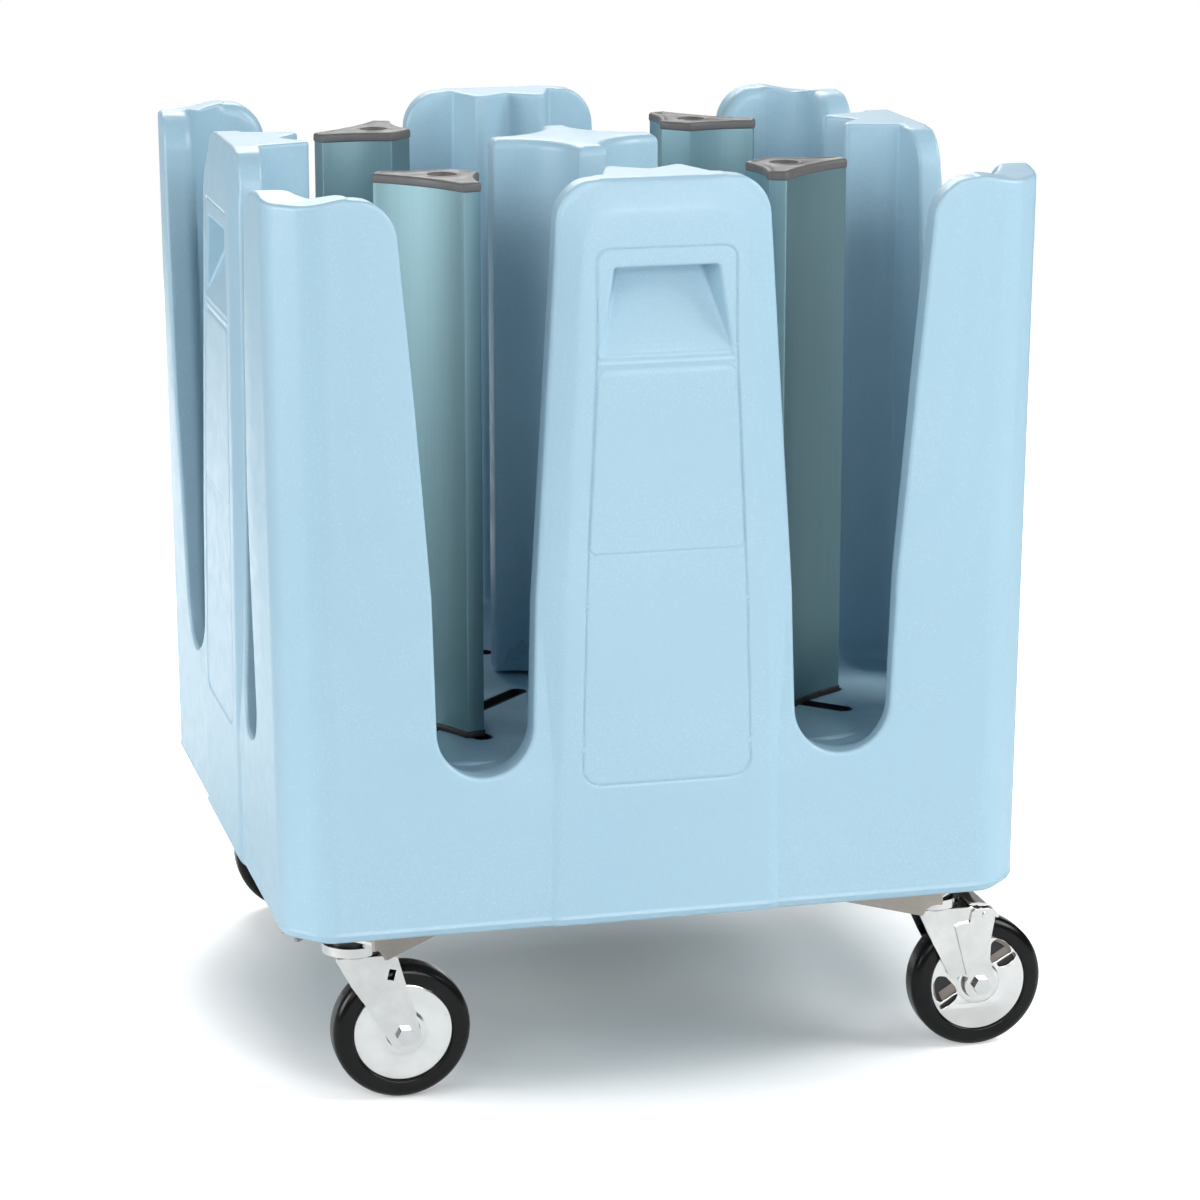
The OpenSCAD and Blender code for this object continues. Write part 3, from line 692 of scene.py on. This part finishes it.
def near_lines(p):
    ax, ay = np.abs(p[:, 0]), np.abs(p[:, 1])
    u, v = np.maximum(ax, ay), np.minimum(ax, ay)
    d = np.minimum(np.abs(T_PANEL(v, p[:, 2])), np.abs(T_LABEL(v, p[:, 2])))
    d = np.minimum(d, np.where((v < 66), np.abs(p[:, 2] - 682) - 6, 99))
    d = np.where(v > 100, 99, d)
    d = np.minimum(d, np.abs(p[:, 2] - (BASE_Z + 8.5)) - 0.5)
    return (u > 325) & (d < 3.2)


def refine(me, times):
    """Splits edges near fine lines and wherever the surface turns quickly."""
    bm = bmesh.new()
    bm.from_mesh(me)
    for _ in range(times):
        p = np.array([v.co[:] for v in bm.verts]) * 1000
        p[:, 0] -= OX
        p, nrm = settle(body_field, p, 1)
        near = near_lines(p)
        bm.verts.ensure_lookup_table()
        bm.edges.ensure_lookup_table()
        ends = np.array([(e.verts[0].index, e.verts[1].index) for e in bm.edges])
        a, b = ends[:, 0], ends[:, 1]
        bend = (nrm[a] * nrm[b]).sum(1) < math.cos(math.radians(13))
        size = np.linalg.norm(p[a] - p[b], axis=1)
        pick = (near[a] & near[b]) | (bend & (size > 1.5))
        q = p.copy()
        q[:, 0] += OX
        q *= 0.001
        for v, c in zip(bm.verts, q):
            v.co = c
        edges = [bm.edges[int(i)] for i in np.flatnonzero(pick)]
        bmesh.ops.subdivide_edges(bm, edges=edges, cuts=1, use_grid_fill=True)
        bm.verts.index_update()
    bmesh.ops.triangulate(bm, faces=[f for f in bm.faces if len(f.verts) > 4])
    bm.to_mesh(me)
    bm.free()


def body_final(me):
    n = len(me.vertices)
    p = np.empty(n * 3, np.float32)
    me.vertices.foreach_get("co", p)
    p = p.reshape(-1, 3).astype(float) * 1000
    p[:, 0] -= OX
    p, nrm = settle(body_field, p, 2)
    q = p.copy()
    q[:, 0] += OX
    me.vertices.foreach_set("co", (q * 0.001).astype(np.float32).ravel())
    me.update()
    me.polygons.foreach_set("use_smooth", np.ones(len(me.polygons), bool))
    me.normals_split_custom_set_from_vertices([tuple(k) for k in nrm])


body_me, _ = build_body()
refine(body_me, 2)
tmp = bpy.data.objects.new("body_dense", body_me)
bpy.context.scene.collection.objects.link(tmp)
dec = tmp.modifiers.new("dec", "DECIMATE")
dec.ratio = 0.26
bpy.context.view_layer.update()
deps = bpy.context.evaluated_depsgraph_get()
light_me = bpy.data.meshes.new_from_object(tmp.evaluated_get(deps))
bpy.data.objects.remove(tmp)
body_final(light_me)
light_me.name = "body_moulding"
print("body faces", len(light_me.polygons), "verts", len(light_me.vertices))
body = piece("body_moulding", light_me, MATS["body_polyethylene"], "base", "body_shell", slot="body_polyethylene")

# ---------------------------------------------------------------- centre column
col = [np.array(p) for p in [(80, -13), (80, 13)]] + bow((80, 13), (13, 80), 19, 24)[4:-4]
quarter = np.array(col)
pts, rad = [], []
for k in range(4):
    c, s = round(math.cos(k * math.pi / 2)), round(math.sin(k * math.pi / 2))
    for i, p in enumerate(quarter):
        pts.append((p[0] * c - p[1] * s, p[0] * s + p[1] * c))
        rad.append(3.6 if i < 2 else 0.0)
COL = np.array(pts)


def col_ring(d, z):
    return ring(fillet(inset(COL, d), [max(q - 0.75 * d, 0.8) if q else 0.0 for q in rad], 8), z)


rings = [col_ring(4.0, FLOOR_Z + 3.2), col_ring(1.4, FLOOR_Z + 3.3), col_ring(0.4, FLOOR_Z + 3.8), col_ring(0.0, FLOOR_Z + 4.8)]
rings += [col_ring(0.0, z) for z in [FLOOR_Z + 10, *np.linspace(FLOOR_Z + 60, COR_Z - 10, 8)]]
rings += [col_ring(8.8 * (1 - math.cos(t)), COR_Z - 8.8 + 8.8 * math.sin(t)) for t in np.linspace(0, math.pi / 2, 10)[1:]]
top = rings[-1]
v, f = loft(rings)
spig = fillet([(-20, -20), (20, -20), (20, 20), (-20, 20)], 3, 4)
# raised outline of a plain arrow low on the front left flank, laid on its hollow curve
SAG = 19.0
FLANK_R = ((math.hypot(67, 67) / 2) ** 2 + SAG * SAG) / (2 * SAG)
FLANK_C = -46.5 - (FLANK_R - SAG) * math.sqrt(0.5)
mark = np.array([(83.1, 326.5), (68.9, 332.5), (69.7, 335.5), (62.3, 344.4), (67.6, 349.5), (75.3, 339.9), (78.5, 342.4)])
mark[:, 0] = np.radians(mark[:, 0]) * FLANK_R
mark = ccw(mark)
strip = []
for off, high in ((-1.3, -0.6), (-0.55, 2.0), (0.55, 2.0), (1.3, -0.6)):
    q = inset(mark, off)
    fine = np.vstack([q[i] + (q[(i + 1) % len(q)] - q[i]) * np.linspace(0, 1, 6)[:-1, None] for i in range(len(q))])
    turn = fine[:, 0] / FLANK_R
    flat = np.radians(88.7 - 7.3)
    rr = np.where(turn > np.radians(74.1), FLANK_R * math.cos(math.radians(7.3)) / np.cos(turn - flat), FLANK_R) - high
    strip.append(np.column_stack([FLANK_C + rr * np.cos(turn), FLANK_C + rr * np.sin(turn), fine[:, 1]]))
n = len(strip[0])
arrow = (np.vstack(strip), [(a * n + i, (a + 1) % 4 * n + i, (a + 1) % 4 * n + (i + 1) % n, a * n + (i + 1) % n)
                            for a in range(4) for i in range(n)])
part = merge([(v, f), loft([ring(spig, FLOOR_Z - 9.8), ring(spig, FLOOR_Z + 6)]), arrow])
me = to_mesh("centre_column", *part)
sharp_by_angle(me, 40)
piece("centre_column_moulding", me, MATS["body_polyethylene"], "base", "centre_column", slot="body_polyethylene")

# ---------------------------------------------------------------- dividers
ARM, ARM_A, TIP_W = 62.0, 64.0, 8.3


def divider_outline(grow=0.0, r_tip=1.6):
    d = np.array([math.cos(math.radians(ARM_A)), math.sin(math.radians(ARM_A))])
    n = np.array([-d[1], d[0]])
    ao, ac = ARM * d - TIP_W * n, ARM * d + TIP_W * n
    bo, bc = ao * (1, -1), ac * (1, -1)
    ca, cb = np.array((-31, 16.5)), np.array((-31, -16.5))
    pts, rad = [], []
    for seg in (bow(bo, ao, 6.5, 22), bow(ac, ca, 5, 12), bow(cb, bc, 5, 12)):
        for i, p in enumerate(seg):
            pts.append(p)
            rad.append(r_tip if i in (0, len(seg) - 1) else 0.0)
    return inset(ccw(fillet(pts, rad, 5)), -grow)


POST_Z0, POST_Z1, DTOP = FLOOR_Z + 6.5, 816.5, 825.0
REST_TURN = {"front_left": -6.0, "front_right": -3.5, "rear_left": 1.5, "rear_right": 0.0}
for q, (sx, sy) in QUADS.items():
    place = dict(dx=sx * HUB, dy=sy * HUB, turn=math.degrees(math.atan2(sy, sx)) + REST_TURN[q])
    body_name = "divider_" + q
    P = divider_outline(0.0, 1.4)
    zs = [POST_Z0, POST_Z0 + 40, 450, 570, 690, 780, POST_Z1]
    part = moved(loft([ring(P, z) for z in zs]), **place)
    me = to_mesh("post", *part)
    sharp_by_angle(me, 30)
    piece("post_extrusion_" + q, me, MATS["divider_aluminium"], body_name, "divider_post_" + q, slot="divider_aluminium")

    # cap: rounded rim, faint dish, round finger hole
    C = divider_outline(1.3, 2.6)
    ang = np.arctan2(C[:, 1], C[:, 0])
    hole = lambda r: np.column_stack([r * np.cos(ang), r * np.sin(ang)])
    rings = [ring(inset(C, 1.0), POST_Z1), ring(inset(C, 0.25), POST_Z1 + 0.5), ring(C, POST_Z1 + 1.6), ring(C, DTOP - 3.3)]
    rings += [ring(inset(C, 3.2 * (1 - math.cos(t))), DTOP - 3.2 + 3.2 * math.sin(t)) for t in np.linspace(0.25, math.pi / 2, 6)]
    rings += [ring(inset(C, 4.4), DTOP - 0.15), ring(inset(C, 5.2), DTOP - 0.75)]
    mid = 0.5 * inset(C, 5.6) + 0.5 * hole(19.0)
    rings += [ring(mid, DTOP - 0.9), ring(hole(16.6), DTOP - 0.8), ring(hole(15.8), DTOP - 0.2), ring(hole(14.6), DTOP),
              ring(hole(13.5), DTOP - 0.5), ring(hole(13.0), DTOP - 1.5), ring(hole(13.0), DTOP - 16),
              ring(hole(13.6), DTOP - 16.5)]
    inner = divider_outline(-3.0, 0.8)
    me_v, me_f = loft(rings, caps=(True, False))
    # a blind bottom in the finger hole
    nb = len(C)
    me_f.append(tuple((len(rings) - 1) * nb + j for j in range(nb)))
    part = moved((me_v, me_f), **place)
    me = to_mesh("cap", *part)
    sharp_by_angle(me, 50)
    piece("cap_moulding_" + q, me, MATS["cap_plastic"], body_name, "divider_cap_" + q, slot="cap_plastic")

    # foot: black, a little proud of the extrusion, on one round peg
    Fo = divider_outline(1.4, 2.4)
    rings = [ring(inset(Fo, 1.6), FLOOR_Z + 0.35), ring(inset(Fo, 0.5), FLOOR_Z + 0.7), ring(Fo, FLOOR_Z + 1.8),
             ring(Fo, POST_Z0 - 1.0), ring(inset(Fo, 0.35), POST_Z0 - 0.3), ring(inset(Fo, 1.0), POST_Z0)]
    t = np.linspace(0, 2 * math.pi, 40, endpoint=False)
    circ = lambda r: np.column_stack([r * np.cos(t), r * np.sin(t)])
    peg = loft([ring(circ(5.6), FLOOR_Z - 9.8), ring(circ(6.9), FLOOR_Z - 8), ring(circ(7), FLOOR_Z - 7), ring(circ(7), FLOOR_Z + 2)])
    part = moved(merge([loft(rings), peg]), **place)
    me = to_mesh("foot", *part)
    sharp_by_angle(me, 40)
    piece("foot_moulding_" + q, me, MATS["black_plastic"], body_name, "divider_foot_" + q, slot="black_plastic")

# ---------------------------------------------------------------- wheels
hw = TYRE_W / 2
tyre = [(46.0, -hw + 2.2), (46.6, -hw + 0.8), (47.8, -hw + 0.15), (50.0, -hw + 0.0)]
tyre += [(WHEEL_R - 9.5 + 9.5 * math.sin(a), -(hw - 9.5) - 9.5 * math.cos(a) + 0.25) for a in np.radians(np.linspace(8, 90, 12))]
tyre += [(r, -y) for r, y in tyre[::-1]]
tyre += [(46.0, 8.0), (46.0, -8.0)]
disc = [(14.0, 13.05), (14.0, 15.7), (14.6, 16.1), (18.6, 16.1), (20.2, 15.6), (21.4, 14.9), (23.5, 14.55),
        (30.0, 14.7), (38.0, 14.85), (43.0, 14.75), (44.8, 14.45), (45.7, 13.8), (45.8, 13.2), (44.8, 13.0), (14.6, 13.0)]
WINDOWS = [
    ccw(fillet([(-44, 1.4), (-43.5, -8.3), (-41, -14), (-36, -17.3), (-20.1, -8.3), (-22.5, -2.5), (-32, 8), (-40, 9)],
               [4, 8, 6, 2.5, 2.5, 4, 5, 4], 5)),
    ccw(fillet([(-37.8, -21.2), (-35.4, -24.6), (-28.4, -21.5), (-21.5, -15.3), (-18.8, -10.0), (-22.9, -11.1)],
               [1.2, 1.5, 8, 8, 1.2, 3], 4)),
    ccw(fillet([(12, 20), (12.5, 37), (18, 41.3), (25, 38.5), (30.5, 33), (33.3, 27.2), (14.5, 16.8)],
               [3, 5, 4, 8, 6, 2.5, 2.5], 5)),
    ccw(fillet([(35.2, 26.8), (37.9, 23.6), (35.4, 19.0), (28, 13.4), (20.8, 13.4), (18, 16.6)], [1.2, 2, 5, 6, 2, 1.5], 4))]
# bar: a 9 mm strip, its middle line 10.5 mm above the axle, rising to the right at 32 degrees
BAR = ccw([(-37.8, -7.6), (-34.2, -16.6), (35.2, 27.0), (30.2, 34.6)])
for q, (sx, sy) in QUADS.items():
    at = dict(dx=sx * SWIVEL + TRAIL, dy=sy * SWIVEL, dz=WHEEL_R)
    me = to_mesh("tyre", *moved(lathe(tyre, 128, closed=True), **at))
    sharp_by_angle(me, 50)
    piece("tyre_moulding_" + q, me, MATS["tyre_rubber"], "wheel_" + q, "tyre_" + q, slot="tyre_rubber")
    if sx < 0:
        both_discs = merge([lathe(disc, 128, closed=True), lathe([(r, -y) for r, y in disc][::-1], 128, closed=True)])
        me = to_mesh("discs", *moved(both_discs, **at))
        sharp_by_angle(me, 50)
        piece("disc_pressings_" + q, me, MATS["disc_steel"], "wheel_" + q, "wheel_discs_" + q, slot="disc_steel")
    else:
        # the braked wheels' discs have two pairs of windows, with a bar across the dark wheel behind
        parts = []
        for s in (-1, 1):
            ys = sorted((s * 13.1, s * 14.7))
            parts.append(plate([circle(45.7, 128), circle(20.4, 64)[::-1]] + [w[::-1] for w in WINDOWS], *ys, 0.35))
            hub = [(14.0, 13.05), (14.0, 15.7), (14.6, 16.1), (18.6, 16.1), (20.2, 15.6), (21.0, 14.7), (21.0, 13.05)]
            parts.append(lathe(hub if s > 0 else [(r, -y) for r, y in hub][::-1], 96, closed=True))
        me = to_mesh("discs", *moved(merge(parts), **at))
        sharp_by_angle(me, 40)
        piece("disc_pressings_" + q, me, MATS["disc_steel"], "wheel_" + q, "wheel_discs_" + q, slot="disc_steel")
        dark, bars = [], []
        for s in (-1, 1):
            dark.append(plate([circle(41.7, 96), circle(15.0, 48)[::-1]], *sorted((s * 11.6, s * 12.2)), 0.1))
            bars.append(plate([BAR], *sorted((s * 12.25, s * 12.95)), 0.2))
        me = to_mesh("wheel_dark", *moved(merge(dark), **at))
        sharp_by_angle(me, 40)
        piece("wheel_dark_" + q, me, MATS["black_plastic"], "wheel_" + q, slot="black_plastic")
        me = to_mesh("wheel_bar", *moved(merge(bars), **at))
        sharp_by_angle(me, 40)
        piece("wheel_bar_" + q, me, MATS["core_plastic"], "wheel_" + q, slot="core_plastic")
    eased("fork_" + q, 0.9)
    eased("axle_bolt_" + q, 0.8)
    eased("wheel_core_" + q, 0.8)
for q in ("front_right", "rear_right"):
    eased("brake_bracket_" + q, 0.6)
    eased("brake_pedal_" + q, 0.6)
for n in ("frame_channel_long", "frame_channel_short_pair", "frame_joint_plate"):
    eased(n, 0.8)
for n in ("frame_bolts", "column_bolt", "caster_plate_bolts", "caster_plate_nuts", "kingpins"):
    eased(n, 0.5)
eased("swivel_races", 0.8)

# ---------------------------------------------------------------- stage, light, camera
def plane(name, z, s):
    me = bpy.data.meshes.new(name)
    me.from_pydata([(-s, -s, z), (s, -s, z), (s, s, z), (-s, s, z)], [], [(0, 1, 2, 3)])
    ob = bpy.data.objects.new(name, me)
    bpy.context.scene.collection.objects.link(ob)
    return ob


floor = plane("floor", -0.0005, 4.2)
m = Mat("floor_paper", 0.7)
paper_and_painted_shadow = m.ramp(m.noise(1.5, 2.0), [(0.3, (0.90, 0.92, 0.92)), (0.7, (0.92, 0.935, 0.935))])
xyz = m.t.nodes.new("ShaderNodeSeparateXYZ")
m.link(m.co, xyz.inputs[0])
aside = m.t.nodes.new("ShaderNodeMath")
aside.operation = "ABSOLUTE"
m.link(xyz.outputs["X"], aside.inputs[0])
far = m.t.nodes.new("ShaderNodeVectorMath")
far.operation = "LENGTH"
m.link(m.co, far.inputs[0])
# painted shadow: the floor's colour darkens under and round the object
paper_and_painted_shadow = m.mix(1.0, paper_and_painted_shadow, m.ramp(far.outputs["Value"], [(0.15, (0.68, 0.70, 0.70)), (0.40, (1.0, 1.0, 1.0))]), "MULTIPLY")
# painted shade: far to the sides the floor's colour turns dark, near black on the left; the camera sees it glow white
# there, so the dark shows only in reflections and in light thrown back
dim = m.mix(m.span(xyz.outputs["X"], -0.3, 0.3, 0.0, 1.0), (0.0, 0.0, 0.0), (0.62, 0.63, 0.63))
m.colour(m.mix(m.span(aside.outputs[0], 0.9, 1.5, 0.0, 0.85), paper_and_painted_shadow, dim))
# the sweep burns out to white away from the object
glow = m.ramp(far.outputs["Value"], [(0.0, 0.0), (0.27, 0.0), (0.37, 0.20), (0.50, 0.75), (0.75, 1.0)])
look = m.t.nodes.new("ShaderNodeLightPath")
# painted light: to all rays but the camera's the floor glows behind the object, more strongly further back, lighting it
# and showing in its reflections
rear = m.mix(m.span(aside.outputs[0], 0.9, 1.5, 0.0, 1.0),
             m.ramp(xyz.outputs["Y"], [(0.55, (0.0, 0.0, 0.0)), (0.95, (0.42, 0.42, 0.42)), (1.0, (0.45, 0.45, 0.45))]), (0.0, 0.0, 0.0))
back = m.mix(m.span(xyz.outputs["Y"], 1.2, 2.3, 0.0, 1.0), (1.9, 1.9, 1.9), (4.2, 4.2, 4.2))
glow = m.mix(look.outputs["Is Camera Ray"], m.mix(1.0, rear, back, "MULTIPLY"), glow)
m.link(glow, m.b.inputs["Emission Color"])
m.b.inputs["Emission Strength"].default_value = 1.0
under = m.t.nodes.new("ShaderNodeNewGeometry")
clear = m.t.nodes.new("ShaderNodeBsdfTransparent")
side = m.t.nodes.new("ShaderNodeMixShader")
end = next(n for n in m.t.nodes if n.type == "OUTPUT_MATERIAL")
m.link(under.outputs["Backfacing"], side.inputs["Fac"])
m.link(m.b.outputs[0], side.inputs[1])
m.link(clear.outputs[0], side.inputs[2])
m.link(side.outputs[0], end.inputs["Surface"])
floor.data.materials.append(m.m)


def area_light(name, loc, target, size, power, colour=(1, 1, 1)):
    li = bpy.data.lights.new(name, "AREA")
    li.shape = "RECTANGLE"
    li.size, li.size_y = size
    li.energy = power
    li.color = colour
    ob = bpy.data.objects.new(name, li)
    ob.location = loc
    ob.rotation_euler = (Vector(target) - Vector(loc)).to_track_quat("-Z", "Y").to_euler()
    bpy.context.scene.collection.objects.link(ob)
    return ob


area_light("key", (-2.7, -3.0, 2.7), (0, 0, 0.45), (2.2, 2.2), 50)
area_light("front", (0.8, -4.5, 1.7), (0, 0, 0.45), (2.2, 1.6), 94)
area_light("left", (-3.8, -0.4, 1.4), (0, 0, 0.45), (2.0, 1.6), 93)
area_light("right", (3.1, -1.4, 2.7), (0, 0, 0.35), (2.2, 1.8), 112)
area_light("back", (0.2, 3.1, 3.0), (0, 0, 0.35), (2.4, 1.8), 108)

w = bpy.data.worlds.new("studio")
bpy.context.scene.world = w
w.use_nodes = True
nt = w.node_tree
nt.nodes.clear()
out = nt.nodes.new("ShaderNodeOutputWorld")
cam_bg = nt.nodes.new("ShaderNodeBackground")
cam_bg.inputs["Color"].default_value = (1, 1, 1, 1)
cam_bg.inputs["Strength"].default_value = 1.0
amb = nt.nodes.new("ShaderNodeBackground")
amb.inputs["Strength"].default_value = 1.0
way = nt.nodes.new("ShaderNodeTexCoord")
sep = nt.nodes.new("ShaderNodeSeparateXYZ")
nt.links.new(way.outputs["Generated"], sep.inputs[0])
ramp = nt.nodes.new("ShaderNodeValToRGB")
for e, (q, c) in zip(ramp.color_ramp.elements, ((0.80, 0.03), (0.93, 0.45))):
    e.position, e.color = q, (0.98 * c, 0.99 * c, c, 1)
nt.links.new(sep.outputs["Y"], ramp.inputs["Fac"])
nt.links.new(ramp.outputs["Color"], amb.inputs["Color"])
path = nt.nodes.new("ShaderNodeLightPath")
mixn = nt.nodes.new("ShaderNodeMixShader")
nt.links.new(path.outputs["Is Camera Ray"], mixn.inputs["Fac"])
nt.links.new(amb.outputs[0], mixn.inputs[1])
nt.links.new(cam_bg.outputs[0], mixn.inputs[2])
nt.links.new(mixn.outputs[0], out.inputs["Surface"])

sc = bpy.context.scene
sc.view_settings.view_transform = "Standard"
sc.view_settings.look = "None"
sc.view_settings.exposure = 0.0
sc.view_settings.gamma = 1.0

cam = bpy.data.cameras.new("camera")
cam.sensor_fit = "HORIZONTAL"
cam.sensor_width = 36.0
cam.lens = 3965.48 / 1200 * 36.0
cam.clip_start, cam.clip_end = 0.05, 100.0
co = bpy.data.objects.new("camera", cam)
co.location = ((-890.5 + OX) / 1000, -3.619, 1.3269)
co.rotation_euler = (math.radians(90 - 14.222), 0.0, -math.radians(14.216))
sc.collection.objects.link(co)
sc.camera = co
